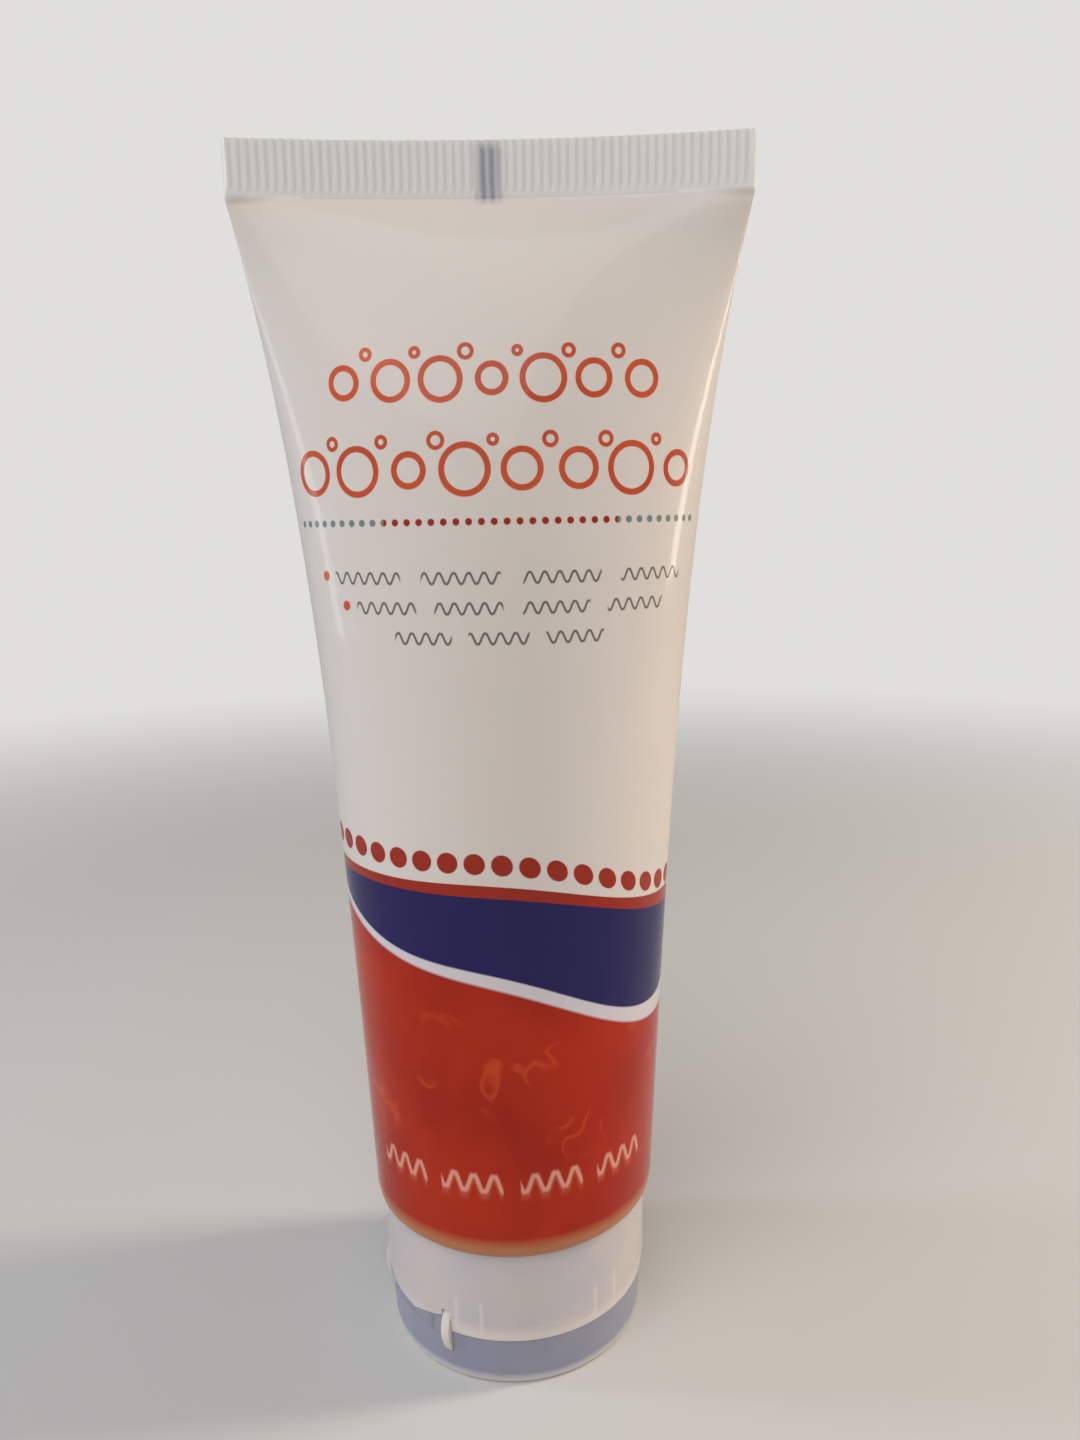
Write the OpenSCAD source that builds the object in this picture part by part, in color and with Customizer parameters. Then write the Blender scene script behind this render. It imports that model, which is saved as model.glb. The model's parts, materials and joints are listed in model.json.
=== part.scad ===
// Face scrub tube: a soft squeeze tube that stands on its flip-top cap.
// The origin is the middle of the cap's standing face. +Z runs up to the flat end seal,
// and the printed front faces -Y. Angles round the cap are counted from the front, positive to the right.

/* [Tube sleeve] */
// Outer radius of the round end of the sleeve
tube_r = 20; // [17:0.5:23]
// Length of the sleeve, end seal included
sleeve_len = 138.5; // [110:0.5:165]
// Wall of the sleeve
sleeve_wall = 0.5; // [0.4:0.05:0.8]
// Height of the curl where the sleeve turns in over the shoulder
curl_h = 2; // [1.2:0.1:3]
// How far the curl turns in
curl_in = 0.65; // [0.3:0.05:0.9]

/* [End seal] */
// Height of the flat end seal
seal_h = 6.5; // [5:0.1:9]
// Thickness of the end seal
seal_t = 1.1; // [0.9:0.05:1.4]
// Pressed ribs across the end seal
seal_ribs = 60; // [30:30:90]
// Depth of the pressed ribs
rib_depth = 0.3; // [0.1:0.05:0.4]
// Smooth strip below the pressed ribs
rib_margin = 1.1; // [0.6:0.1:2]
// How far the end seal leans to the front
seal_lean = 6; // [0:0.25:8]
// How far the middle of the end seal bows back behind its corners
seal_bow = 2.5; // [0:0.25:4]

/* [Tube head] */
// Outer radius of the neck
neck_r = 9; // [8:0.25:10]
// Wall of the neck
neck_wall = 1.4; // [1.1:0.1:2]
// Thickness of the shoulder
shoulder_t = 1.5; // [1.2:0.1:2]
// Fall of the shoulder from its rim to the neck
shoulder_drop = 0.6; // [0.3:0.1:1.2]
// Height of the rim that the sleeve is welded to
head_rim_h = 3.5; // [2.5:0.1:5]
// Gap between the welded faces of the sleeve and the head
weld_gap = 0.1; // [0.05:0.05:0.2]

/* [Contents] */
// Air left above the scrub, below the end seal
headspace = 16; // [6:1:30]
// Film of room between the scrub and the wall
scrub_gap = 0.15; // [0.1:0.05:0.3]

/* [Cap base] */
// Step in from the sleeve to the cap
cap_step = 1.15; // [0.8:0.05:2]
// Height of the cap base
base_h = 13.15; // [12:0.25:16]
// Wall of the cap base and the lid
cap_wall = 1.1; // [0.9:0.05:1.3]
// Draft of the cap base at its lower edge
base_chamfer = 0.25; // [0.1:0.05:0.4]
// Height of that draft
chamfer_h = 1.9; // [1:0.1:2.5]
// Gap between the cap base and the sleeve
cap_gap = 0.2; // [0.15:0.05:0.4]
// Depth of the closing deck behind the cap base's lower edge
deck_recess = 0.75; // [0.5:0.05:1.2]
// Thickness of the deck
deck_t = 1.2; // [1:0.1:1.6]
// Running gap between the neck and the collar round it
neck_gap = 0.2; // [0.15:0.05:0.3]
// Wall of the collar
collar_wall = 1.2; // [0.9:0.1:1.6]
// Gap between the collar's end and the shoulder
collar_gap = 0.5; // [0.3:0.1:1]
// Height of the ring that centres the lid
centring_h = 1.25; // [0.8:0.05:1.6]
// Wall of the centring ring
centring_wall = 0.9; // [0.7:0.05:1.2]
// Gap between the centring ring and the lid's wall
centring_gap = 0.4; // [0.3:0.05:0.6]
// Pairs of stiffening ribs between the collar and the skirt
gusset_pairs = 6; // [4:1:8]
// Angle of the first pair
gusset_angle = -18.5; // [-30:0.5:0]
// Angle from the middle of a pair to each of its ribs
gusset_half_angle = 5.5; // [3:0.5:8]
// Thickness of a rib
gusset_t = 0.8; // [0.6:0.1:1.2]
// Height of a rib above the deck
gusset_h = 4; // [2:0.5:6]

/* [Nozzle] */
// Radius of the outlet
outlet_r = 2; // [1.5:0.1:3]
// Wall of the nozzle
nozzle_wall = 1.3; // [0.9:0.1:1.8]
// Length of the nozzle below the deck
nozzle_len = 3.4; // [2.6:0.1:4]
// How far the lid's plug reaches into the nozzle
plug_in = 2; // [1.2:0.1:2.4]
// Gap between the plug and the outlet
plug_gap = 0.25; // [0.22:0.01:0.35]
// Taper of the plug's tip
plug_taper = 0.2; // [0.1:0.05:0.4]

/* [Lid] */
// Height of the lid
lid_h = 6.95; // [6.5:0.05:8]
// Step in from the cap base to the lid
lid_step = 0.4; // [0.2:0.05:0.6]
// Draft of the lid's wall
lid_draft = 0.25; // [0.1:0.05:0.4]
// Rounding of the lid's standing rim
lid_round = 1; // [0.5:0.1:1.1]
// Thickness of the lid's face
lid_t = 1.2; // [1:0.1:1.5]
// Seam between the lid and the cap base
seam_gap = 0.2; // [0.15:0.05:0.3]
// How far the thumb lip stands out
lip_out = 1; // [0.6:0.1:1.4]
// Height of the thumb lip
lip_h = 1.6; // [1:0.1:2]
// Angle that the thumb lip and the scoop above it span
lip_span = 26; // [16:1:36]
// Radius of the thumb scoop in the cap base
scoop_r = 2.4; // [1.6:0.1:3]
// Depth of the thumb scoop
scoop_in = 0.6; // [0.3:0.05:0.8]

/* [Hinge] */
// Angle of the hinge's middle
hinge_angle = -57; // [-90:1:90]
// Width of the middle film
film_w = 4.9; // [4:0.1:6]
// Thickness of the films
film_t = 0.4; // [0.3:0.05:0.6]
// Height of the middle film
film_h = 1.2; // [1:0.1:1.8]
// Width of each wing, beside the middle film
wing_w = 5.8; // [5:0.1:7]
// Rise of each wing above and below the seam
wing_rise = 2.3; // [1.6:0.1:2.6]
// Width of the sprung strap at each wing's end
strap_w = 1.2; // [1:0.1:1.6]
// Thickness of the strap
strap_t = 0.6; // [0.5:0.05:0.8]
// How far the strap bulges out
strap_bulge = 0.9; // [0.5:0.1:1.1]
// Reach of the strap above and below the seam
strap_reach = 3.15; // [2.9:0.05:3.3]
// Width of the slit beside the strap
slit_w = 0.4; // [0.3:0.05:0.5]
// Height of the slit beside the strap
slit_h = 2.4; // [1.6:0.1:2.8]
// Height of a wing where it meets the middle film
wing_root = 0.6; // [0.4:0.1:0.9]
// Gap round the hinge's films, wings and straps
hinge_gap = 0.1; // [0.08:0.01:0.15]

/* [Hidden] */

round_fn = 96;
// Overlap of solids that are joined, trim of a cut past a wall, and run of cuts into the open
lap = 0.1;
trim = 0.05;
beyond = 2;

// Heights
base_z = lid_h + seam_gap;
seam_z = lid_h + seam_gap / 2;
base_top = base_z + base_h;
sleeve_z = base_top + cap_gap;
sleeve_top = sleeve_z + sleeve_len;
seal_z = sleeve_top - seal_h;
curl_top = sleeve_z + curl_h;
deck_z = base_z + deck_recess;
deck_top = deck_z + deck_t;
neck_end = deck_top + neck_gap;
nozzle_z = deck_z - nozzle_len;
neck_root = sleeve_z - shoulder_drop;
collar_top = neck_root - collar_gap;
plug_top = nozzle_z + plug_in;
plug_tip = plug_in / 3;
base_edge = cap_wall / 4;

// Radii of the cap
cap_r = tube_r - cap_step;
skirt_in = cap_r - cap_wall;
lid_r = cap_r - lid_step;
lid_in = lid_r - cap_wall;
centring_r = lid_in - centring_gap;
collar_in = neck_r + neck_gap;
collar_r = collar_in + collar_wall;
plug_r = outlet_r - plug_gap;
skin_r = lid_r;
skin_in = skin_r - film_t;

// Hinge, measured sideways from its middle
film_half = film_w / 2;
wing_end = film_half + wing_w;
strap_angle = asin((wing_end + strap_w / 2) / cap_r);
strap_steps = 12;

// Sleeve: points round a section, and the stations up its length
side_points = 60;
rib_points = 4 * seal_ribs / side_points;
seal_points = side_points * rib_points;
outer_steps = 18;
inner_steps = 11;
scrub_steps = 8;
curl_steps = 4;
slot_half = 0.12;
seal_edge_power = 0.1;
sleeve_run = seal_z - curl_top;
scrub_z = sleeve_z + head_rim_h + scrub_gap;
scrub_top = seal_z - headspace;
inner_inset = sleeve_wall + scrub_gap;

// The sleeve's girth is the same all the way up, so a wider section is a flatter one
full_girth = 2 * PI * tube_r;
flat_half = full_girth / 4;
function widening(t) = (t + pow(t, 4)) / 2;
function half_width(t) = tube_r + (flat_half - tube_r) * widening(t);
function girth(a, b) = PI * (3 * (a + b) - sqrt((3 * a + b) * (a + 3 * b)));
function depth_between(a, low, high, steps) =
    let (mid = (low + high) / 2)
    steps == 0 ? mid
    : girth(a, mid) > full_girth ? depth_between(a, low, mid, steps - 1)
    : depth_between(a, mid, high, steps - 1);
function half_depth(t) = depth_between(half_width(t), seal_t / 2, tube_r * 1.01, 20);

// Across a section, s runs from -1 at the left fold to 1 at the right fold
function wave(angle) = abs(((angle + 270) % 360) - 180) / 90 - 1;
function across(angle, even) = (1 - even) * sin(angle) + even * wave(angle);
function side(angle) = cos(angle) > 0.0001 ? -1 : cos(angle) < -0.0001 ? 1 : 0;
function fold_power(t) = 0.5 + 0.3 * pow(t, 3);
function evenness(t) = t * t;
function lean_at(t) = -seal_lean * pow(t, 1.5);
function bow_at(t) = seal_bow * pow(t, 5);
function arch(s, power) = pow(max(0, 1 - s * s), power);

// Stations crowd towards the end seal, where the sleeve flattens fastest
function station(k, steps) = 1 - pow(1 - k / steps, 1.5);

// A ring of points at station t of the sleeve, moved in by inset
function ring(t, inset, count) = [
    for (i = [0 : count - 1])
        let (angle = 360 * i / count, s = across(angle, evenness(t)),
             a = half_width(t) - inset, b = max(slot_half, half_depth(t) - inset))
        [a * s,
         side(angle) * b * arch(s, fold_power(t)) + lean_at(t) + bow_at(t) * (1 - s * s),
         curl_top + t * sleeve_run]];

// A ring of points of the end seal, with the pressed ribs at the stated depth
function seal_ring(z, depth) = [
    for (i = [0 : seal_points - 1])
        let (angle = 360 * i / seal_points, s = across(angle, 1))
        [flat_half * s,
         side(angle) * seal_t / 2 * arch(s, seal_edge_power) + depth / 2 * (i % 2 == 0 ? 1 : -1)
             + lean_at(1) + bow_at(1) * (1 - s * s),
         z]];

// A round ring of the curl at the sleeve's lower end
function curl_ring(step, inset) =
    let (turn = 90 * (curl_steps - step) / curl_steps)
    [for (i = [0 : side_points - 1])
        let (angle = 360 * i / side_points, r = tube_r - inset - curl_in * (1 - cos(turn)))
        [r * sin(angle), -r * cos(angle), curl_top - curl_h * sin(turn)]];

// Triangles between two rings of the same count, which start at points a and b
function band(a, b, count) = [
    for (i = [0 : count - 1]) let (j = (i + 1) % count)
        each [[a + i, b + i, b + j], [a + i, b + j, a + j]]];
// Triangles between a ring and one of several times its count
function fan_band(a, b, count, times) = [
    for (i = [0 : count - 1]) let (j = (i + 1) % count, m = times * count)
        each concat([for (k = [0 : times - 1]) [a + i, b + times * i + k, b + (times * i + k + 1) % m]],
                    [[a + i, b + (times * (i + 1)) % m, a + j]])];
function run(start, count) = [for (i = [0 : count - 1]) start + i];
function back_run(start, count) = [for (i = [count - 1 : -1 : 0]) start + i];
function turned(faces) = [for (f = faces) [f[0], f[2], f[1]]];

module tube_sleeve() {
    outer = concat([for (k = [0 : curl_steps - 1]) curl_ring(k, 0)],
                   [for (k = [0 : outer_steps - 1]) ring(station(k, outer_steps), 0, side_points)]);
    inner = concat([for (k = [0 : curl_steps - 1]) curl_ring(k, sleeve_wall)],
                   [for (k = [0 : inner_steps - 1]) ring(station(k, inner_steps), sleeve_wall, side_points)]);
    seal = [seal_ring(seal_z, 0), seal_ring(seal_z + rib_margin - rib_depth, 0),
            seal_ring(seal_z + rib_margin, rib_depth), seal_ring(sleeve_top, rib_depth)];
    seal_at = len(outer) * side_points;
    inner_at = seal_at + len(seal) * seal_points;
    points = [for (r = concat(outer, seal, inner)) each r];
    walls = concat(
        [for (k = [0 : len(outer) - 2]) each band(k * side_points, (k + 1) * side_points, side_points)],
        fan_band(seal_at - side_points, seal_at, side_points, rib_points),
        [for (k = [0 : len(seal) - 2]) each
            band(seal_at + k * seal_points, seal_at + (k + 1) * seal_points, seal_points)],
        [for (k = [0 : len(inner) - 2]) each
            turned(band(inner_at + k * side_points, inner_at + (k + 1) * side_points, side_points))],
        turned(band(0, inner_at, side_points)));
    ends = [run(inner_at + (len(inner) - 1) * side_points, side_points),
            back_run(seal_at + (len(seal) - 1) * seal_points, seal_points)];
    color("lightsalmon") polyhedron(points = points, faces = concat(walls, ends), convexity = 6);
}

module tube_head() {
    rim_r = tube_r - sleeve_wall - weld_gap;
    color("whitesmoke") rotate_extrude($fn = round_fn) polygon([
        [neck_r - neck_wall, neck_end], [neck_r, neck_end], [neck_r, neck_root],
        [rim_r - curl_in, sleeve_z], [rim_r - curl_in / 4, sleeve_z + curl_h / 2], [rim_r, curl_top],
        [rim_r, sleeve_z + head_rim_h], [rim_r - sleeve_wall, sleeve_z + head_rim_h],
        [rim_r - shoulder_t, curl_top], [neck_r - neck_wall, neck_root + shoulder_t]]);
}

module scrub_gel() {
    t_low = (scrub_z - curl_top) / sleeve_run;
    t_high = (scrub_top - curl_top) / sleeve_run;
    rings = [for (k = [0 : scrub_steps])
        ring(t_low + (t_high - t_low) * k / scrub_steps, inner_inset, side_points)];
    points = [for (r = rings) each r];
    walls = [for (k = [0 : scrub_steps - 1]) each band(k * side_points, (k + 1) * side_points, side_points)];
    ends = [run(0, side_points), back_run(scrub_steps * side_points, side_points)];
    throat = neck_r - neck_wall - scrub_gap;
    rim_in = tube_r - 2 * sleeve_wall - weld_gap - scrub_gap;
    color("orangered") union() {
        polyhedron(points = points, faces = concat(walls, ends), convexity = 4);
        rotate_extrude($fn = round_fn) polygon([
            [0, neck_end], [throat, neck_end], [throat, neck_root + shoulder_t + scrub_gap],
            [tube_r - 2 * shoulder_t, curl_top + scrub_gap], [rim_in, curl_top + shoulder_t],
            [rim_in, scrub_z], [0, scrub_z]]);
    }
}

// Turns a solid so that +X points outward at an angle round the cap
module facing(angle) {
    rotate([0, 0, angle - 90]) children();
}

// A prism that runs outward from the axis, from a shape in (sideways, height)
module outward() {
    rotate([90, 0, 90]) linear_extrude(cap_r + strap_bulge + beyond) children();
}

module wing_shape(extra) {
    root = wing_root / 2 + extra;
    rise = wing_rise + extra;
    end = wing_end + lap + strap_w / 4;
    polygon([[film_half - extra, seam_z - root], [end, seam_z - rise],
             [end, seam_z + rise], [film_half - extra, seam_z + root]]);
}

// Openings in the wall that the hinge's film, wings and straps fill
module hinge_openings(from_r) {
    facing(hinge_angle) intersection() {
        rotate_extrude($fn = round_fn)
            translate([from_r - trim, seam_z - strap_reach - beyond])
                square([cap_r - from_r + beyond, 2 * (strap_reach + beyond)]);
        union() {
            outward() translate([-film_half - lap, seam_z - film_h / 2 - hinge_gap])
                square([film_w + 2 * lap, film_h + 2 * hinge_gap]);
            for (hand = [-1, 1]) {
                outward() mirror([hand < 0 ? 1 : 0, 0]) wing_shape(hinge_gap);
                rotate([0, 0, hand * strap_angle]) outward()
                    translate([-strap_w / 2 - hinge_gap, seam_z - strap_reach - hinge_gap])
                        square([strap_w + 2 * hinge_gap, 2 * (strap_reach + hinge_gap)]);
            }
        }
    }
}

// A ring section over the angle that the thumb lip spans, opposite the hinge
module at_thumb() {
    facing(hinge_angle + 180) rotate([0, 0, -lip_span / 2])
        rotate_extrude(angle = lip_span, $fn = round_fn) children();
}

module cap_base() {
    nozzle_r = outlet_r + nozzle_wall;
    centring_in = centring_r - centring_wall;
    centring_end = base_z - centring_h;
    color("lavender") union() {
        difference() {
            rotate_extrude($fn = round_fn) polygon([
                [outlet_r, nozzle_z], [nozzle_r, nozzle_z], [nozzle_r, deck_z],
                [centring_in, deck_z], [centring_in, centring_end],
                [centring_r, centring_end], [centring_r, deck_z],
                [skirt_in, deck_z], [skirt_in, base_z], [cap_r - base_chamfer, base_z],
                [cap_r, base_z + chamfer_h], [cap_r, base_top - base_edge], [cap_r - base_edge, base_top],
                [skirt_in, base_top], [skirt_in, deck_top], [collar_r, deck_top], [collar_r, collar_top],
                [collar_in, collar_top], [collar_in, deck_top], [outlet_r, deck_top]]);
            hinge_openings(skirt_in);
            at_thumb() translate([cap_r + scoop_r - scoop_in, base_z + scoop_r])
                circle(scoop_r, $fn = round_fn);
        }
        for (pair = [0 : gusset_pairs - 1], hand = [-1, 1])
            facing(gusset_angle + 360 * pair / gusset_pairs + hand * gusset_half_angle)
                translate([collar_r - lap, -gusset_t / 2, deck_top - lap])
                    cube([skirt_in - collar_r + 2 * lap, gusset_t, gusset_h + lap]);
    }
}

module cap_lid() {
    foot_r = lid_r - lid_draft - lid_round;
    rim_steps = 5;
    color("lightsteelblue") union() {
        difference() {
            rotate_extrude($fn = round_fn) polygon(concat(
                [[0, 0]],
                [for (k = [0 : rim_steps]) let (turn = 90 * k / rim_steps)
                    [foot_r + lid_round * sin(turn), lid_round * (1 - cos(turn))]],
                [[lid_r, lid_h], [lid_in, lid_h], [lid_in, lid_t], [plug_r, lid_t],
                 [plug_r, plug_top - plug_tip], [plug_r - plug_taper, plug_top], [0, plug_top]]));
            hinge_openings(lid_in);
        }
        at_thumb() polygon([[lid_r - lid_draft - lap, lid_h - lip_h], [lid_r, lid_h - lip_h],
                            [lid_r + lip_out, lid_h - lip_h / 2], [lid_r + lip_out, lid_h],
                            [lid_r - lid_draft - lap, lid_h]]);
    }
}

// The thin skin of the hinge, cut to a shape in (sideways, height)
module hinge_skin() {
    intersection() {
        rotate_extrude($fn = round_fn)
            translate([skin_in, seam_z - wing_rise - beyond]) square([film_t, 2 * (wing_rise + beyond)]);
        outward() children();
    }
}

module hinge_film() {
    color("lavender") facing(hinge_angle) hinge_skin()
        translate([hinge_gap - film_half, seam_z - film_h / 2]) square([film_w - 2 * hinge_gap, film_h]);
}

// One wing: a thin panel that ends in a strap, which bulges out of the wall
module hinge_wing(hand) {
    function bulge(turn) = skin_r + strap_bulge * cos(turn);
    turns = [for (k = [0 : strap_steps]) 90 - 180 * k / strap_steps];
    color("lavender") facing(hinge_angle) union() {
        hinge_skin() mirror([hand < 0 ? 1 : 0, 0]) difference() {
            wing_shape(0);
            translate([wing_end - slit_w, seam_z - slit_h / 2]) square([slit_w + strap_w, slit_h]);
        }
        rotate([90, 0, hand * strap_angle]) linear_extrude(strap_w, center = true) polygon(concat(
            [for (turn = turns) [bulge(turn), seam_z - strap_reach * turn / 90]],
            [for (k = [strap_steps : -1 : 0])
                [bulge(turns[k]) - strap_t, seam_z - strap_reach * turns[k] / 90]]));
    }
}
module hinge_wing_left() {
    hinge_wing(-1);
}
module hinge_wing_right() {
    hinge_wing(1);
}

tube_sleeve();
tube_head();
scrub_gel();
cap_base();
cap_lid();
hinge_film();
hinge_wing_left();
hinge_wing_right();
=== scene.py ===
# %% [markdown]
# # Face scrub tube
# A soft squeeze tube that stands on its flip-top cap. The moulded cap keeps the solids of the packed
# model and gets its plastics here. The soft sleeve is rolled from a flat sheet, as real tube film is,
# so that the print can be laid out in millimetres round the tube and up it.

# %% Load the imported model
import json
import math
import bpy
import numpy as np
from mathutils import Matrix, Vector


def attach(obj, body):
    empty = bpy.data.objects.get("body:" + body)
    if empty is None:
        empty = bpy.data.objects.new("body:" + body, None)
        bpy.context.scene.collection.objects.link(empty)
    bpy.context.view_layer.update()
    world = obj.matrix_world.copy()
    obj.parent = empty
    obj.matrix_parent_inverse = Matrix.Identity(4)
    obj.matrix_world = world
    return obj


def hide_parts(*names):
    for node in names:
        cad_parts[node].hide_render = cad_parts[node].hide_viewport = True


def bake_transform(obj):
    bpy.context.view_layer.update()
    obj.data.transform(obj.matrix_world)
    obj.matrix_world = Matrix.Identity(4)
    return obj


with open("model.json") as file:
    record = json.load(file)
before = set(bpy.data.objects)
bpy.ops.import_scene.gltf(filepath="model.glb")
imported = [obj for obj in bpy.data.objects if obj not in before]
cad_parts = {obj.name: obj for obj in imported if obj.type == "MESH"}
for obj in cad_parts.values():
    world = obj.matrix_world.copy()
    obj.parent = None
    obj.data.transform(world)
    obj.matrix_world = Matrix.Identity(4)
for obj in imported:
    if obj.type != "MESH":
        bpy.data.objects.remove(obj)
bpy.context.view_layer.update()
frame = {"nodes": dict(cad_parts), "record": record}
print("nodes:", sorted(frame["nodes"]))

# %% [markdown]
# The camera stands where the photograph was taken: close in front, at three quarters of the tube's
# height, looking a little down. That near view is why the sealed end looks so much wider than the cap.
# The picture's long side sets the lens, so it is given for a 36 mm sensor on that side.

# %% Camera
MM = 0.001
picture_long = 1440
focal_pixels = 1040
camera_place = (4.88 * MM, -138.7 * MM, 114.87 * MM)
camera_pitch = 0.1929
camera_roll = 0.0169

camera_data = bpy.data.cameras.new("camera")
camera_data.sensor_width = 36
camera_data.lens = camera_data.sensor_width * focal_pixels / picture_long
camera_data.clip_start = 5 * MM
camera = bpy.data.objects.new("camera", camera_data)
bpy.context.scene.collection.objects.link(camera)
camera.location = camera_place
camera.rotation_euler = (
    Matrix.Rotation(math.pi / 2 - camera_pitch, 4, "X") @ Matrix.Rotation(-camera_roll, 4, "Z")
).to_euler()
bpy.context.scene.camera = camera
print("lens", round(camera_data.lens, 2), "mm")

# %% [markdown]
# ## Sizes of the sleeve
# The sleeve is a round pipe of film whose far end was pressed flat and welded. Film doesn't stretch,
# so the distance round the tube stays the same all the way up: where the tube gets wider it gets
# flatter. The same few sizes as in the solids give every section of it.

# %% Sleeve sizes in millimetres
tube_r = 20.0
film_wall = 0.5
sleeve_low = 20.5
sleeve_top = 159.0
seal_h = 6.5
seal_t = 1.1
seal_lean = 6.0
seal_bow = 2.5
curl_h = 2.0
curl_in = 0.65
rib_margin = 1.1
rib_depth = 0.2
ribs = 60

seal_low = sleeve_top - seal_h
curl_top = sleeve_low + curl_h
girth = 2 * math.pi * tube_r
flat_half = girth / 4
print("girth", round(girth, 2), "mm, flat width", round(2 * flat_half, 2), "mm")


# %% [markdown]
# A section is worked out in three steps: how wide it is at that height, how deep it must then be for
# its girth to come out the same, and how sharp its folds are. Points are then spaced evenly along the
# film, because that is how the printed sheet wraps round the tube.

# %% One section of the sleeve
def half_depth(half_width):
    """Depth of an oval of the given half width, so that its girth is the tube's."""
    low, high = seal_t / 2, tube_r * 1.01
    for _ in range(20):
        mid = (low + high) / 2
        a, b = half_width, mid
        around = math.pi * (3 * (a + b) - math.sqrt((3 * a + b) * (a + 3 * b)))
        low, high = (low, mid) if around > girth else (mid, high)
    return (low + high) / 2


def even_quarter(half_width, depth, fold_power, count):
    """Points of a quarter section, from the middle of the front to the fold, evenly spaced."""
    angle = np.linspace(0, math.pi / 2, 400)
    s = np.sin(angle)
    x = half_width * s
    y = depth * np.maximum(0, 1 - s * s) ** fold_power
    along = np.concatenate([[0], np.cumsum(np.hypot(np.diff(x), np.diff(y)))])
    even = np.linspace(0, along[-1], count + 1)
    return np.interp(even, along, x), np.interp(even, along, y)


def section(z, columns, inset=0.0):
    """Points round the sleeve at height z: middle of the back, left fold, front, right fold and back."""
    quarter = columns // 4
    t = min(1.0, max(0.0, (z - curl_top) / (seal_low - curl_top)))
    if z < curl_top:
        tuck = math.asin(min(1.0, (curl_top - z) / curl_h))
        radius = tube_r - inset - curl_in * (1 - math.cos(tuck))
        x, y = even_quarter(radius, radius, 0.5, quarter)
    elif z < seal_low:
        width = tube_r + (flat_half - tube_r) * (t + t ** 4) / 2
        depth = max(0.12, half_depth(width) - inset)
        x, y = even_quarter(width - inset, depth, 0.5 + 0.3 * t ** 3, quarter)
    else:
        x = np.linspace(0, flat_half, quarter + 1)
        y = seal_t / 2 * np.maximum(0, 1 - (x / flat_half) ** 2) ** 0.1
    round_x = np.concatenate([-x, -x[::-1][1:], x[1:], x[::-1][1:]])
    round_y = np.concatenate([y, -y[::-1][1:], -y[1:], y[::-1][1:]])
    bow = seal_bow * t ** 5 * (1 - (round_x / x[-1]) ** 2)
    round_y = round_y - seal_lean * t ** 1.5 + bow
    if z > seal_low + rib_margin:
        rib_pitch = 2 * flat_half / ribs
        place = np.mod(np.round(4 * round_x / rib_pitch), 4)
        round_y = round_y + np.where(place < 2, 0.5, -0.5) * rib_depth
    return round_x, round_y


# %% [markdown]
# The sheet starts as a flat grid, whose own UV map already runs once round the tube and once up it.
# Each of its rows is then laid on the section at its height, and the two side edges meet at the back.
# Rows are close together where the film turns quickly: at the curl, below the seal and at the ribs.

# %% Roll a sheet into the sleeve
def roll_sheet(name, heights, columns, inset):
    """A grid whose rows are rolled round the sleeve's sections, seamed at the back."""
    bpy.ops.object.select_all(action="DESELECT")
    rows = len(heights) - 1
    bpy.ops.mesh.primitive_grid_add(x_subdivisions=columns, y_subdivisions=rows, size=1)
    sheet = bpy.context.object
    sheet.name = name
    sheet.data.name = name
    flat = np.empty(len(sheet.data.vertices) * 3)
    sheet.data.vertices.foreach_get("co", flat)
    flat = flat.reshape(-1, 3)
    column = np.round((flat[:, 0] + 0.5) * columns).astype(int)
    row = np.round((flat[:, 1] + 0.5) * rows).astype(int)
    sections = [section(z, columns, inset) for z in heights]
    for i, z in enumerate(heights):
        here = row == i
        flat[here, 0] = sections[i][0][column[here]]
        flat[here, 1] = sections[i][1][column[here]]
        flat[here, 2] = z
    sheet.data.vertices.foreach_set("co", (flat * MM).ravel())
    uv = sheet.data.uv_layers[0].data
    for loop in uv:
        low = heights[int(round(loop.uv.y * rows))]
        loop.uv.y = (low - sleeve_low) / (sleeve_top - sleeve_low)
    sheet.data.update()
    bpy.ops.object.mode_set(mode="EDIT")
    bpy.ops.mesh.select_all(action="SELECT")
    bpy.ops.mesh.remove_doubles(threshold=0.01 * MM)
    bpy.ops.object.mode_set(mode="OBJECT")
    return sheet


def spread(low, high, steps):
    """Heights from low up to, but without, high."""
    return list(np.linspace(low, high, steps, endpoint=False))


outer_heights = (
    spread(sleeve_low, curl_top, 5)
    + spread(curl_top, seal_low - 14, 40)
    + spread(seal_low - 14, seal_low - 2, 10)
    + spread(seal_low - 2, seal_low, 5)
    + spread(seal_low, seal_low + rib_margin + 0.4, 4)
    + list(np.linspace(seal_low + rib_margin + 0.4, sleeve_top, 6))
)
sleeve = roll_sheet("sleeve", outer_heights, 480, 0.0)
print("sleeve rows", len(outer_heights), "points", len(sleeve.data.vertices))

# %% [markdown]
# The wall is closed like the real one. The film's inside is a second, coarser sheet, set in by the
# wall's thickness. Its far end stops in the thin slot below the weld, the weld's own top edge is
# filled, and a ring of faces joins the outside to the inside at the tube's lower end.

# %% Close the sleeve's wall
def fill_top(sheet, z):
    """Fills the open ring of edges at height z."""
    bpy.ops.object.select_all(action="DESELECT")
    sheet.select_set(True)
    bpy.context.view_layer.objects.active = sheet
    bpy.ops.object.mode_set(mode="EDIT")
    bpy.ops.mesh.select_mode(type="VERT")
    bpy.ops.mesh.select_all(action="DESELECT")
    bpy.ops.object.mode_set(mode="OBJECT")
    for vertex in sheet.data.vertices:
        vertex.select = abs(vertex.co.z - z * MM) < 1e-6
    bpy.ops.object.mode_set(mode="EDIT")
    bpy.ops.mesh.edge_face_add()
    bpy.ops.object.mode_set(mode="OBJECT")


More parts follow.
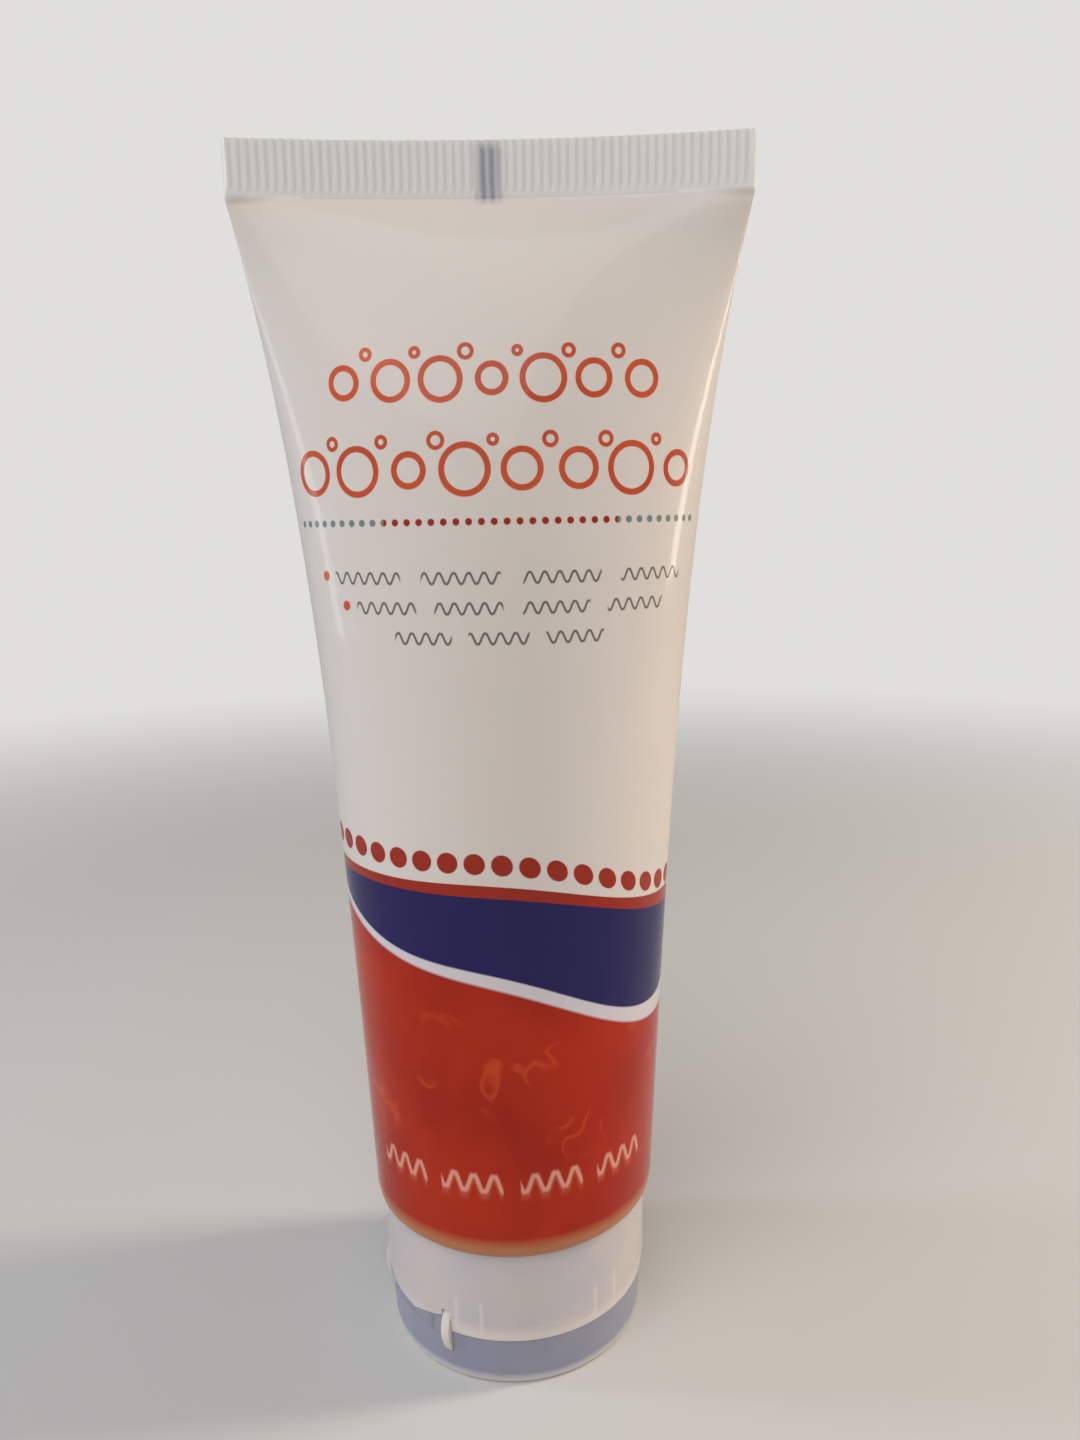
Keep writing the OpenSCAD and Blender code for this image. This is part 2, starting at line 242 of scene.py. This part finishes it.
inner_heights = (
    spread(sleeve_low, curl_top, 4)
    + spread(curl_top, seal_low - 14, 20)
    + list(np.linspace(seal_low - 14, seal_low - 3.5, 10))
)
inner = roll_sheet("sleeve_inside", inner_heights, 120, film_wall)
fill_top(sleeve, sleeve_top)
fill_top(inner, inner_heights[-1])
inner.data.polygons.foreach_set("material_index", [1] * len(inner.data.polygons))

bpy.ops.object.select_all(action="DESELECT")
inner.select_set(True)
sleeve.select_set(True)
bpy.context.view_layer.objects.active = sleeve
bpy.ops.object.join()
bpy.ops.object.mode_set(mode="EDIT")
bpy.ops.mesh.select_mode(type="EDGE")
bpy.ops.mesh.select_all(action="DESELECT")
bpy.ops.mesh.select_non_manifold()
bpy.ops.mesh.bridge_edge_loops()
bpy.ops.mesh.select_all(action="SELECT")
bpy.ops.mesh.normals_make_consistent(inside=False)
bpy.ops.mesh.select_all(action="DESELECT")
bpy.ops.object.mode_set(mode="OBJECT")
bpy.ops.object.shade_smooth_by_angle(angle=math.radians(40))
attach(sleeve, "tube")
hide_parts("tube_sleeve")
print("sleeve faces", len(sleeve.data.polygons))

# %% [markdown]
# ## Shader helpers
# The inks are fields of colour with simple outlines, so each is a mask worked out with math nodes. Two
# small helpers keep those chains short: one adds a math node, the other lays a colour over another.

# %% Helpers for materials
def ink(red, green, blue):
    """A colour as it is seen, from 0 to 255 a channel, as the linear values that Blender works in."""
    linear = [c / 255 / 12.92 if c < 11 else ((c / 255 + 0.055) / 1.055) ** 2.4 for c in (red, green, blue)]
    return (*linear, 1.0)


def connect(tree, socket, value):
    """Links a socket to another socket, or sets its value."""
    if isinstance(value, bpy.types.NodeSocket):
        tree.links.new(value, socket)
    else:
        socket.default_value = value


def calc(tree, operation, *values, clamp=False):
    """The result of a math node."""
    node = tree.nodes.new("ShaderNodeMath")
    node.operation = operation
    node.use_clamp = clamp
    for socket, value in zip(node.inputs, values):
        connect(tree, socket, value)
    return node.outputs[0]


def below(tree, value, limit, soft):
    """1 where value is under limit, 0 where it is over, with an edge of the given softness."""
    gap = calc(tree, "SUBTRACT", limit, value)
    return calc(tree, "MULTIPLY_ADD", gap, 1 / soft, 0.5, clamp=True)


def between(tree, value, low, high, soft):
    return calc(tree, "SUBTRACT", below(tree, value, high, soft), below(tree, value, low, soft), clamp=True)


def lay(tree, mask, under, over):
    """The colour over where the mask is 1, and under where it is 0."""
    node = tree.nodes.new("ShaderNodeMix")
    node.data_type = "RGBA"
    connect(tree, node.inputs[0], mask)
    connect(tree, node.inputs[6], under)
    connect(tree, node.inputs[7], over)
    return node.outputs[2]


def noise(tree, place, scale, detail=2.0, distortion=0.0):
    node = tree.nodes.new("ShaderNodeTexNoise")
    connect(tree, node.inputs["Vector"], place)
    node.inputs["Scale"].default_value = scale
    node.inputs["Detail"].default_value = detail
    node.inputs["Distortion"].default_value = distortion
    return node.outputs["Fac"]


def new_material(name):
    """A material with one Principled shader, and its object coordinates."""
    material = bpy.data.materials.new(name)
    material.use_nodes = True
    tree = material.node_tree
    shader = tree.nodes["Principled BSDF"]
    place = tree.nodes.new("ShaderNodeTexCoord").outputs["Object"]
    return material, tree, shader, place


# %% [markdown]
# Two effects are used more than once, so each is a node group with named inputs. The first draws a row
# of dots round the tube, or of rings when a hole is given. The second is the fine unevenness that film
# and moulded plastic both have: a slow swell and a small orange peel, as one height for a Bump node.

# %% Node groups
def new_group(name, inputs, output):
    group = bpy.data.node_groups.new(name, "ShaderNodeTree")
    for label, kind in inputs:
        group.interface.new_socket(name=label, in_out="INPUT", socket_type=kind)
    group.interface.new_socket(name=output, in_out="OUTPUT", socket_type="NodeSocketFloat")
    given = group.nodes.new("NodeGroupInput")
    result = group.nodes.new("NodeGroupOutput")
    return group, given.outputs, result.inputs[0]


dot_row, given, result = new_group("dot_row", [
    ("Across", "NodeSocketFloat"), ("Height", "NodeSocketFloat"), ("Row", "NodeSocketFloat"),
    ("Pitch", "NodeSocketFloat"), ("Radius", "NodeSocketFloat"), ("Hole", "NodeSocketFloat")], "Mask")
turns = calc(dot_row, "ADD", calc(dot_row, "DIVIDE", given["Across"], given["Pitch"]), 0.5)
from_middle = calc(dot_row, "SUBTRACT", calc(dot_row, "FRACT", turns), 0.5)
sideways = calc(dot_row, "MULTIPLY", from_middle, given["Pitch"])
upward = calc(dot_row, "SUBTRACT", given["Height"], given["Row"])
away = calc(dot_row, "SQRT", calc(dot_row, "ADD", calc(dot_row, "MULTIPLY", sideways, sideways),
                                  calc(dot_row, "MULTIPLY", upward, upward)))
ink_edge = 0.08
disc = below(dot_row, away, given["Radius"], ink_edge)
hole = below(dot_row, away, given["Hole"], ink_edge)
dot_row.links.new(calc(dot_row, "SUBTRACT", disc, hole, clamp=True), result)

plastic_skin, given, result = new_group("plastic_skin", [
    ("Place", "NodeSocketVector"), ("Swell", "NodeSocketFloat"), ("Peel", "NodeSocketFloat")], "Height")
swell = calc(plastic_skin, "MULTIPLY", noise(plastic_skin, given["Place"], 45), given["Swell"])
peel = calc(plastic_skin, "MULTIPLY", noise(plastic_skin, given["Place"], 1800), given["Peel"])
plastic_skin.links.new(calc(plastic_skin, "ADD", swell, peel), result)


def use_group(tree, group, **values):
    node = tree.nodes.new("ShaderNodeGroup")
    node.node_tree = group
    for label, value in values.items():
        connect(tree, node.inputs[label], value)
    return node.outputs[0]


def bump(tree, height, distance):
    """Normals for a height from 0 to 1 that stands for the given distance."""
    node = tree.nodes.new("ShaderNodeBump")
    node.inputs["Distance"].default_value = distance
    connect(tree, node.inputs["Height"], height)
    return node.outputs["Normal"]


print("groups:", [g.name for g in bpy.data.node_groups])

# %% [markdown]
# ## The printed film
# The film's own UV map gives two lengths in millimetres: across, from the middle of the front, and
# height. The bands' edges are gentle waves that run round the tube and meet at the back, so each is a
# mean height and a few sines. Everything is laid over the milky film in the order that it is printed.

# %% Bands and dots of the print
def wave(tree, angle, mean, *pairs):
    """A height that waves round the tube: for each pair, its cosine and sine parts, from the slowest on."""
    total = mean
    for times, (cosine, sine) in enumerate(pairs, start=1):
        faster = calc(tree, "MULTIPLY", angle, times)
        total = calc(tree, "MULTIPLY_ADD", calc(tree, "COSINE", faster), cosine, total)
        total = calc(tree, "MULTIPLY_ADD", calc(tree, "SINE", faster), sine, total)
    return total


film, tree, shader, place = new_material("printed_film")
uv_map = tree.nodes.new("ShaderNodeUVMap")
uv_map.uv_map = sleeve.data.uv_layers[0].name
parts = tree.nodes.new("ShaderNodeSeparateXYZ")
tree.links.new(uv_map.outputs[0], parts.inputs[0])
across = calc(tree, "MULTIPLY_ADD", parts.outputs[0], girth, -girth / 2)
height = calc(tree, "MULTIPLY_ADD", parts.outputs[1], sleeve_top - sleeve_low, sleeve_low)
angle = calc(tree, "MULTIPLY", across, 2 * math.pi / girth)

line_top = wave(tree, angle, 69.6, (0.2, -1.8), (0.6, -0.9), (0.5, 0.6))
blue_top = wave(tree, angle, 67.85, (0.4, -1.8), (0.9, -1.15), (0.2, 0.8))
white_top = wave(tree, angle, 59.4, (-0.95, -6.7), (-1.3, -0.55), (1.9, 0.85))
window_top = wave(tree, angle, 57.3, (-0.6, -7.5), (-0.95, -0.4), (1.55, 0.85))
dots_at = wave(tree, angle, 72.05, (0.25, -2.25), (0.85, -1.0), (0.45, 0.9))

milky = ink(220, 211, 205)
white_ink = ink(214, 206, 212)
brick = ink(158, 44, 28)
orange = ink(204, 84, 48)
indigo = ink(34, 29, 88)
teal = ink(118, 134, 134)
grey = ink(112, 103, 97)
scrub_deep = ink(158, 26, 4)
scrub_light = ink(184, 44, 8)
scrub_curl = ink(226, 90, 40)
tan = ink(184, 118, 82)
slate = ink(92, 100, 124)

# The scrub behind the film: softly clouded, with a few pale curls where air is folded in
moved = tree.nodes.new("ShaderNodeVectorMath")
moved.operation = "ADD"
moved.inputs[1].default_value = (11.0, 0.0, 0.0)
tree.links.new(place, moved.inputs[0])
cloud = calc(tree, "MULTIPLY_ADD", noise(tree, place, 70, detail=2.0, distortion=0.4), 2.0, -0.5, clamp=True)
scrub = lay(tree, cloud, scrub_deep, scrub_light)
curl = calc(tree, "ABSOLUTE", calc(tree, "SUBTRACT", noise(tree, moved.outputs[0], 210, 0.0, 0.9), 0.5))
curl = below(tree, curl, 0.03, 0.09)
patch = calc(tree, "MULTIPLY_ADD", noise(tree, moved.outputs[0], 120, 0.0), 9.0, -4.9, clamp=True)
patch = calc(tree, "MULTIPLY", patch, between(tree, height, 34.0, 53.0, 6.0))
scrub = lay(tree, calc(tree, "MULTIPLY", calc(tree, "MULTIPLY", curl, patch), 0.5), scrub, scrub_curl)

in_window = below(tree, height, window_top, 0.35)
in_stripe = below(tree, height, white_top, 0.2)
in_blue = below(tree, height, blue_top, ink_edge)
in_line = below(tree, height, line_top, ink_edge)
clear_end = below(tree, height, 22.7, 1.6)
colour = lay(tree, in_line, milky, brick)
colour = lay(tree, in_blue, colour, indigo)
colour = lay(tree, in_stripe, colour, white_ink)
colour = lay(tree, in_window, colour, scrub)
colour = lay(tree, clear_end, colour, tan)

no_hole = -1.0
big_dots_round = 37
big_dots = use_group(tree, dot_row, Across=across, Height=height, Row=dots_at, Pitch=girth / big_dots_round,
                     Radius=1.33, Hole=no_hole)
colour = lay(tree, big_dots, colour, brick)

# The thin dotted rule, brick in its middle and grey at its ends
rule = use_group(tree, dot_row, Across=across, Height=height, Row=114.45, Pitch=1.51, Radius=0.42,
                 Hole=no_hole)
rule = calc(tree, "MULTIPLY", rule, between(tree, across, -27.9, 27.9, 0.02))
rule_colour = lay(tree, between(tree, across, -13.6, 15.1, 0.02), teal, brick)
colour = lay(tree, rule, colour, rule_colour)
print("print laid out over", round(girth, 1), "by", round(sleeve_top - sleeve_low, 1), "mm")

# %% [markdown]
# The upper front carries a plain pattern of foam bubbles in a coppery orange. Each bubble's size comes
# from its number in the row, so that no two neighbours are alike. Below the dotted rule run three fine
# wave lines in groups, with two round bullets.

# %% Bubbles, bullets and squiggles
def bubbles(colour, row, pitch, radius, stroke, reach, shift):
    """A row of thin rings of mixed sizes, from -reach to reach."""
    along = calc(tree, "ADD", across, shift)
    number = calc(tree, "FLOOR", calc(tree, "ADD", calc(tree, "DIVIDE", along, pitch), 0.5))
    size = calc(tree, "SINE", calc(tree, "MULTIPLY_ADD", number, 2.4, row))
    size = calc(tree, "MULTIPLY_ADD", size, radius * 0.16, radius * 0.84)
    ring = use_group(tree, dot_row, Across=along, Height=height, Row=row, Pitch=pitch, Radius=size,
                     Hole=calc(tree, "SUBTRACT", size, stroke))
    shown = calc(tree, "MULTIPLY", ring, between(tree, across, -reach, reach, 0.02))
    return lay(tree, shown, colour, foil)


def squiggle(colour, row, left, right, tint, start=0.0,
             tall=0.62, pitch=1.8, stroke=0.14, word=0.55, blur=0.1):
    """A fine wave line in groups, from left to right."""
    turn = 2 * math.pi / pitch
    phase = calc(tree, "MULTIPLY", across, turn)
    wave_line = calc(tree, "MULTIPLY", calc(tree, "SINE", phase), tall)
    slope = calc(tree, "MULTIPLY", calc(tree, "COSINE", phase), tall * turn)
    steep = calc(tree, "SQRT", calc(tree, "MULTIPLY_ADD", slope, slope, 1.0))
    away = calc(tree, "ABSOLUTE", calc(tree, "SUBTRACT", calc(tree, "SUBTRACT", height, row), wave_line))
    line = below(tree, calc(tree, "DIVIDE", away, steep), stroke, blur)
    groups = below(tree, calc(tree, "SINE", calc(tree, "MULTIPLY_ADD", across, word, start)), 0.78, 0.08)
    groups = calc(tree, "MULTIPLY", groups, between(tree, across, left, right, 0.1))
    shown = calc(tree, "MULTIPLY", line, groups)
    return lay(tree, shown, colour, tint)


# The coppery ink is lighter in soft patches, a painted sheen
painted_sheen = calc(tree, "MULTIPLY_ADD", noise(tree, place, 60), 3.0, -1.0, clamp=True)
foil = lay(tree, painted_sheen, brick, ink(222, 106, 66))
foil = lay(tree, 0.6, foil, orange)
colour = bubbles(colour, 130.6, 6.1, 2.9, 0.72, 21.3, 0.0)
colour = bubbles(colour, 133.7, 6.1, 1.0, 0.5, 18.3, 3.05)
colour = bubbles(colour, 120.4, 6.8, 3.2, 0.74, 27.2, 3.4)
colour = bubbles(colour, 123.7, 6.8, 1.1, 0.5, 23.8, 0.0)
# Each wave line: its height, its two ends, and the place and rate of its gaps
fine_lines = (
    (108.0, -22, 26, 0.574, 0.5118),
    (104.5, -18.5, 22.5, 0.378, 0.5956),
    (101.0, -13.0, 13.5, 4.52, 0.68),
)
for row, left, right, start, word in fine_lines:
    colour = squiggle(colour, row, left, right, grey, start, word=word)
for row, at in ((108.2, -23.1), (104.7, -19.7)):
    bullet = use_group(tree, dot_row, Across=calc(tree, "SUBTRACT", across, at), Height=height, Row=row,
                       Pitch=girth, Radius=0.6, Hole=no_hole)
    colour = lay(tree, bullet, colour, orange)

# %% [markdown]
# The clear window carries a line too. Its ink stands a wall's thickness in front of the scrub, so it
# throws a soft shadow on it, which is drawn first, a little lower and blurred.

# %% Line in the window
window_line = {"left": -20.5, "right": 21.0, "start": 1.39, "tall": 1.05, "pitch": 2.65, "word": 0.5928}
colour = squiggle(colour, 30.5, tint=ink(188, 78, 48), stroke=0.32, blur=0.6, **window_line)
colour = squiggle(colour, 31.2, tint=ink(222, 152, 134), stroke=0.3, blur=0.25, **window_line)

# %% [markdown]
# The weld is bare film, so it is greyer, and it carries a soft slate mark in the middle that a filling
# machine looks for. Printed and filled parts of the film are glossy and the milky part is satin. The
# film glows a little from inside, which subsurface scattering gives.

# %% Seal, gloss and light in the film
in_seal = calc(tree, "SUBTRACT", 1.0, below(tree, height, seal_low, 0.4))
colour = lay(tree, calc(tree, "MULTIPLY", in_seal, 0.85), colour, ink(227, 226, 225))
mark = between(tree, across, -1.6, 1.2, 1.0)
mark = calc(tree, "MULTIPLY", mark, between(tree, height, seal_low - 0.6, sleeve_top - 0.5, 1.4))
# The mark is painted lighter and darker in stripes, one to each rib: painted light and shade of the ribs
rib_turn = 2 * math.pi * 2 * ribs / girth
rib_shade_painted = calc(tree, "SINE", calc(tree, "MULTIPLY", across, rib_turn))
rib_shade_painted = calc(tree, "MULTIPLY_ADD", rib_shade_painted, 0.2, 0.5)
colour = lay(tree, calc(tree, "MULTIPLY", mark, rib_shade_painted), colour, slate)
tree.links.new(colour, shader.inputs["Base Color"])

gloss = below(tree, height, line_top, 1.0)
roughness = calc(tree, "MULTIPLY_ADD", gloss, -0.18, 0.38)
roughness = calc(tree, "MULTIPLY_ADD", noise(tree, place, 700), 0.05, roughness)
tree.links.new(roughness, shader.inputs["Roughness"])
skin = use_group(tree, plastic_skin, Place=place, Swell=1.0, Peel=0.02)
tree.links.new(bump(tree, skin, 0.25 * MM), shader.inputs["Normal"])
shader.inputs["Coat Weight"].default_value = 0.2
shader.inputs["Coat Roughness"].default_value = 0.07
shader.inputs["Specular IOR Level"].default_value = 0.14
shader.inputs["Subsurface Weight"].default_value = 0.2
shader.inputs["Subsurface Radius"].default_value = (1.0, 0.6, 0.5)
shader.inputs["Subsurface Scale"].default_value = 1.0 * MM
shader.inputs["IOR"].default_value = 1.5

inside_film, tree, shader, place = new_material("film_inside")
shader.inputs["Base Color"].default_value = ink(214, 150, 120)
shader.inputs["Roughness"].default_value = 0.4
tree.links.new(bump(tree, use_group(tree, plastic_skin, Place=place, Swell=1.0, Peel=0.05), 0.2 * MM),
               shader.inputs["Normal"])
sleeve.data.materials.clear()
sleeve.data.materials.append(film)
sleeve.data.materials.append(inside_film)
print("film material nodes:", len(film.node_tree.nodes))

# %% [markdown]
# ## The cap
# The cap is moulded from natural polypropylene, which is milky and lets light through. The base is
# painted lighter, for the light that the white tube and the scrub behind it send through its wall. The
# hollow lid is painted darker and bluer, a painted shade, because less light comes through it.

# %% Cap plastics
lid_joint = next(joint for joint in frame["record"]["behaviour"]["joints"] if joint["name"] == "lid_hinge")
lid_axis = lid_joint["axis"]
seam_point = tuple(lid_joint["pos_m"])


def natural_plastic(name, tint, highlight_tint, edge_low, edge_high, edge_r, glow, roughness):
    """Milky moulded plastic, with a painted highlight between two heights and outside a radius, where an
    edge catches light.
    """
    material, tree, shader, place = new_material(name)
    cloudy = calc(tree, "MULTIPLY_ADD", noise(tree, place, 110, detail=1.0), 3.0, -1.0, clamp=True)
    cooler = (0.9 * tint[0], 0.93 * tint[1], 1.02 * tint[2], 1.0)
    colour = lay(tree, cloudy, cooler, tint)
    axes = tree.nodes.new("ShaderNodeSeparateXYZ")
    tree.links.new(place, axes.inputs[0])
    level = calc(tree, "DIVIDE", axes.outputs["Z"], MM)
    x, y = axes.outputs["X"], axes.outputs["Y"]
    from_axis = calc(tree, "ADD", calc(tree, "MULTIPLY", x, x), calc(tree, "MULTIPLY", y, y))
    from_axis = calc(tree, "SQRT", from_axis)
    rim = calc(tree, "SUBTRACT", 1.0, below(tree, calc(tree, "DIVIDE", from_axis, MM), edge_r, 1.2))
    edge = calc(tree, "MULTIPLY", rim, between(tree, level, edge_low, edge_high, 1.6))
    colour = lay(tree, edge, colour, highlight_tint)
    rough = calc(tree, "MULTIPLY_ADD", noise(tree, place, 900), 0.06, roughness)
    tree.links.new(rough, shader.inputs["Roughness"])
    skin = use_group(tree, plastic_skin, Place=place, Swell=0.3, Peel=0.01)
    tree.links.new(bump(tree, skin, 0.15 * MM), shader.inputs["Normal"])
    shader.inputs["Subsurface Weight"].default_value = glow
    shader.inputs["Subsurface Radius"].default_value = (1.0, 1.0, 1.0)
    shader.inputs["Subsurface Scale"].default_value = 1.5 * MM
    shader.inputs["IOR"].default_value = 1.49
    return material, tree, shader, axes.outputs, level, colour


# The ribs inside the base show through its wall as faint upright lines, in pairs, painted lighter: a painted
# glow of the light that comes through them
cap_plastic, tree, shader, axes, level, colour = natural_plastic(
    "cap_plastic", ink(207, 198, 195), ink(228, 217, 211), 4.0, 8.8, 16.0, 0.4, 0.3)
pair_step = 60.0
pair_edge = 11.5
rib_half_angle = 5.5
turned = calc(tree, "ARCTAN2", axes["X"], calc(tree, "MULTIPLY", axes["Y"], -1.0))
turned = calc(tree, "MULTIPLY", turned, 180 / math.pi)
pair = calc(tree, "DIVIDE", calc(tree, "SUBTRACT", turned, pair_edge), pair_step)
pair = calc(tree, "SUBTRACT", calc(tree, "FRACT", pair), 0.5)
pair = calc(tree, "MULTIPLY", calc(tree, "ABSOLUTE", pair), pair_step)
from_rib = calc(tree, "ABSOLUTE", calc(tree, "SUBTRACT", pair, rib_half_angle))
rib_light_painted = calc(tree, "MULTIPLY", below(tree, from_rib, 0.6, 1.4), between(tree, level, 7.5, 12.8, 1.2))
colour = lay(tree, calc(tree, "MULTIPLY", rib_light_painted, 0.5), colour, ink(236, 227, 222))
tree.links.new(colour, shader.inputs["Base Color"])

# The lid is painted darker and bluer than the base, a painted shade, with a painted highlight on its lower
# rim
lid_plastic, tree, shader, axes, level, colour = natural_plastic(
    "lid_plastic", ink(152, 153, 168), ink(232, 225, 221), -2.0, 1.0, 16.8, 0.4, 0.26)
tree.links.new(colour, shader.inputs["Base Color"])

# The hinge's wings are as thin as the lid's wall and painted as dark, a painted shade, and its straps are
# painted lighter, a painted highlight where they catch light like an edge
hinge_plastic, tree, shader, axes, level, colour = natural_plastic(
    "hinge_plastic", ink(150, 152, 168), ink(150, 152, 168), 0.0, 40.0, 0.0, 0.4, 0.3)
sideways = calc(tree, "MULTIPLY", axes["X"], lid_axis[0] / MM)
sideways = calc(tree, "MULTIPLY_ADD", axes["Y"], lid_axis[1] / MM, sideways)
strap = calc(tree, "SUBTRACT", 1.0, below(tree, calc(tree, "ABSOLUTE", sideways), 8.2, 0.3))
tree.links.new(lay(tree, strap, colour, ink(224, 214, 209)), shader.inputs["Base Color"])

head_plastic, tree, shader, axes, level, colour = natural_plastic(
    "head_plastic", ink(218, 214, 208), ink(218, 214, 208), 0.0, 40.0, 0.0, 0.3, 0.4)
tree.links.new(colour, shader.inputs["Base Color"])
scrub_body, tree, shader, place = new_material("scrub_body")
grains = tree.nodes.new("ShaderNodeTexVoronoi")
grains.inputs["Scale"].default_value = 900
tree.links.new(place, grains.inputs["Vector"])
grain = below(tree, grains.outputs["Distance"], 0.18, 0.08)
tree.links.new(lay(tree, grain, scrub_light, scrub_deep), shader.inputs["Base Color"])
shader.inputs["Roughness"].default_value = 0.12
shader.inputs["Subsurface Weight"].default_value = 0.5
shader.inputs["Subsurface Radius"].default_value = (1.0, 0.3, 0.15)
shader.inputs["Subsurface Scale"].default_value = 4 * MM

finishes = {
    "cap_base": cap_plastic,
    "cap_lid": lid_plastic,
    "hinge_film": hinge_plastic,
    "hinge_wing_left": hinge_plastic,
    "hinge_wing_right": hinge_plastic,
    "tube_head": head_plastic,
    "scrub_gel": scrub_body,
}
for name, material in finishes.items():
    node = frame["nodes"][name]
    node.data.materials.clear()
    node.data.materials.append(material)
print("finishes:", sorted(finishes))

# %% [markdown]
# ## The living hinge
# The lid hangs on a thin film, with a wing on each side that ends in a bulging strap. The straps snap
# the lid open or shut. All three are one moulding with the cap and bend when the lid turns. Each solid
# is copied, cut across into narrow strips at the seam and given softened edges, and the copy is shown
# in its place. The real straps look solid from the side, so the hollow back of each is moved inward.

# %% Hinge pieces cut into strips
bend_reach = 1.8 * MM
strips = 16
cap_r = 18.85
skin_r = 18.45
strap_middle = 8.85
strap_half = 0.62
strap_rise = 3.15
strap_bulge = 0.9
strap_back_r = 17.85
strap_angle = math.asin(strap_middle / cap_r)
hinge_direction = math.atan2(seam_point[1], seam_point[0])


def fill_strap(piece, direction):
    """Moves the hollow back of the strap at this direction inward, so that its side is solid."""
    for vertex in piece.data.vertices:
        x, y, z = vertex.co / MM
        out = x * math.cos(direction) + y * math.sin(direction)
        side = y * math.cos(direction) - x * math.sin(direction)
        lift = (z - seam_point[2] / MM) / strap_rise
        arch = skin_r + strap_bulge * math.cos(math.pi / 2 * min(1, abs(lift)))
        if abs(side) < strap_half and abs(lift) < 1.02 and arch - 0.75 < out < arch - 0.45:
            vertex.co.x += (strap_back_r - out) * MM * math.cos(direction)
            vertex.co.y += (strap_back_r - out) * MM * math.sin(direction)


for name in ("hinge_film", "hinge_wing_left", "hinge_wing_right"):
    bpy.ops.object.select_all(action="DESELECT")
    piece = bpy.data.objects.new(name + "_soft", frame["nodes"][name].data.copy())
    bpy.context.scene.collection.objects.link(piece)
    piece.select_set(True)
    bpy.context.view_layer.objects.active = piece
    bpy.ops.object.mode_set(mode="EDIT")
    bpy.ops.mesh.select_all(action="SELECT")
    bpy.ops.mesh.remove_doubles(threshold=0.001 * MM)
    bpy.ops.mesh.dissolve_limited(angle_limit=math.radians(0.5))
    bpy.ops.object.mode_set(mode="OBJECT")
    for hand in (-1, 1):
        fill_strap(piece, hinge_direction + hand * strap_angle)
    bpy.ops.object.mode_set(mode="EDIT")
    for strip in range(strips + 1):
        level = seam_point[2] + bend_reach * (2 * strip / strips - 1)
        bpy.ops.mesh.select_all(action="SELECT")
        bpy.ops.mesh.bisect(plane_co=(0, 0, level), plane_no=(0, 0, 1))
    bpy.ops.object.mode_set(mode="OBJECT")
    edges = piece.modifiers.new("soft_edges", "BEVEL")
    edges.width = 0.06 * MM
    edges.segments = 2
    edges.limit_method = "ANGLE"
    edges.angle_limit = math.radians(40)
    bpy.ops.object.modifier_apply(modifier="soft_edges")
    bpy.ops.object.shade_smooth_by_angle(angle=math.radians(35))
    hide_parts(name)
    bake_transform(piece)
    print(piece.name, len(piece.data.polygons), "faces")

# %% [markdown]
# ## Stage and light
# A plain pale floor and plain soft light. A tall cool strip on the left and a warm one on the right
# draw the long highlights that a tube shows, and a large soft lamp above fills the front.

# %% Floor
backdrop_tint = ink(224, 223, 221)
floor_side = 8
bpy.ops.object.select_all(action="DESELECT")
bpy.ops.mesh.primitive_plane_add(size=floor_side, location=(0, 0, 0))
floor = bpy.context.object
floor.name = "floor"
floor_paint, tree, shader, place = new_material("floor_paint")
shader.inputs["Base Color"].default_value = ink(204, 203, 201)
shader.inputs["Roughness"].default_value = 0.7
from_tube = tree.nodes.new("ShaderNodeVectorMath")
from_tube.operation = "LENGTH"
tree.links.new(place, from_tube.inputs[0])
far = calc(tree, "MULTIPLY_ADD", from_tube.outputs["Value"], 2.4, -0.45, clamp=True)
far = calc(tree, "MULTIPLY", calc(tree, "MULTIPLY", far, far), calc(tree, "MULTIPLY_ADD", far, -2.0, 3.0))
seen = tree.nodes.new("ShaderNodeLightPath").outputs["Is Camera Ray"]
haze = tree.nodes.new("ShaderNodeEmission")
haze.inputs["Color"].default_value = backdrop_tint
joined = tree.nodes.new("ShaderNodeMixShader")
tree.links.new(calc(tree, "MULTIPLY", far, seen), joined.inputs[0])
tree.links.new(shader.outputs[0], joined.inputs[1])
tree.links.new(haze.outputs[0], joined.inputs[2])
tree.links.new(joined.outputs[0], tree.nodes["Material Output"].inputs["Surface"])
floor.data.materials.append(floor_paint)

# %% [markdown]
# The world is a plain pale backdrop to the camera and a dimmer, even light to everything else, so that
# the background doesn't wash out the glossy inks.

# %% World and lamps
world = bpy.data.worlds.new("world")
bpy.context.scene.world = world
world.use_nodes = True
tree = world.node_tree
backdrop = tree.nodes["Background"]
backdrop.inputs["Color"].default_value = backdrop_tint
seen = tree.nodes.new("ShaderNodeLightPath").outputs["Is Camera Ray"]
tree.links.new(calc(tree, "MULTIPLY_ADD", seen, 0.72, 0.28), backdrop.inputs["Strength"])
lamp_target = Vector((0, 0, 0.08))


def lamp(name, place, size, tall, power, tint):
    """A flat lamp that faces the middle of the tube."""
    data = bpy.data.lights.new(name, "AREA")
    data.shape = "RECTANGLE"
    data.size = size
    data.size_y = tall
    data.energy = power
    data.color = tint
    light = bpy.data.objects.new(name, data)
    bpy.context.scene.collection.objects.link(light)
    light.location = place
    light.rotation_euler = (light.location - lamp_target).to_track_quat("Z", "Y").to_euler()


lamp("front_fill", (-0.25, -0.6, 0.8), 1.0, 0.8, 6.6, (1.0, 0.985, 0.97))
lamp("left_strip", (-0.5, 0.02, 0.24), 0.08, 0.45, 0.8, (0.72, 0.84, 1.0))
lamp("right_strip", (0.5, 0.06, 0.28), 0.08, 0.5, 2.2, (1.0, 0.86, 0.7))
bpy.context.scene.view_settings.view_transform = "Standard"
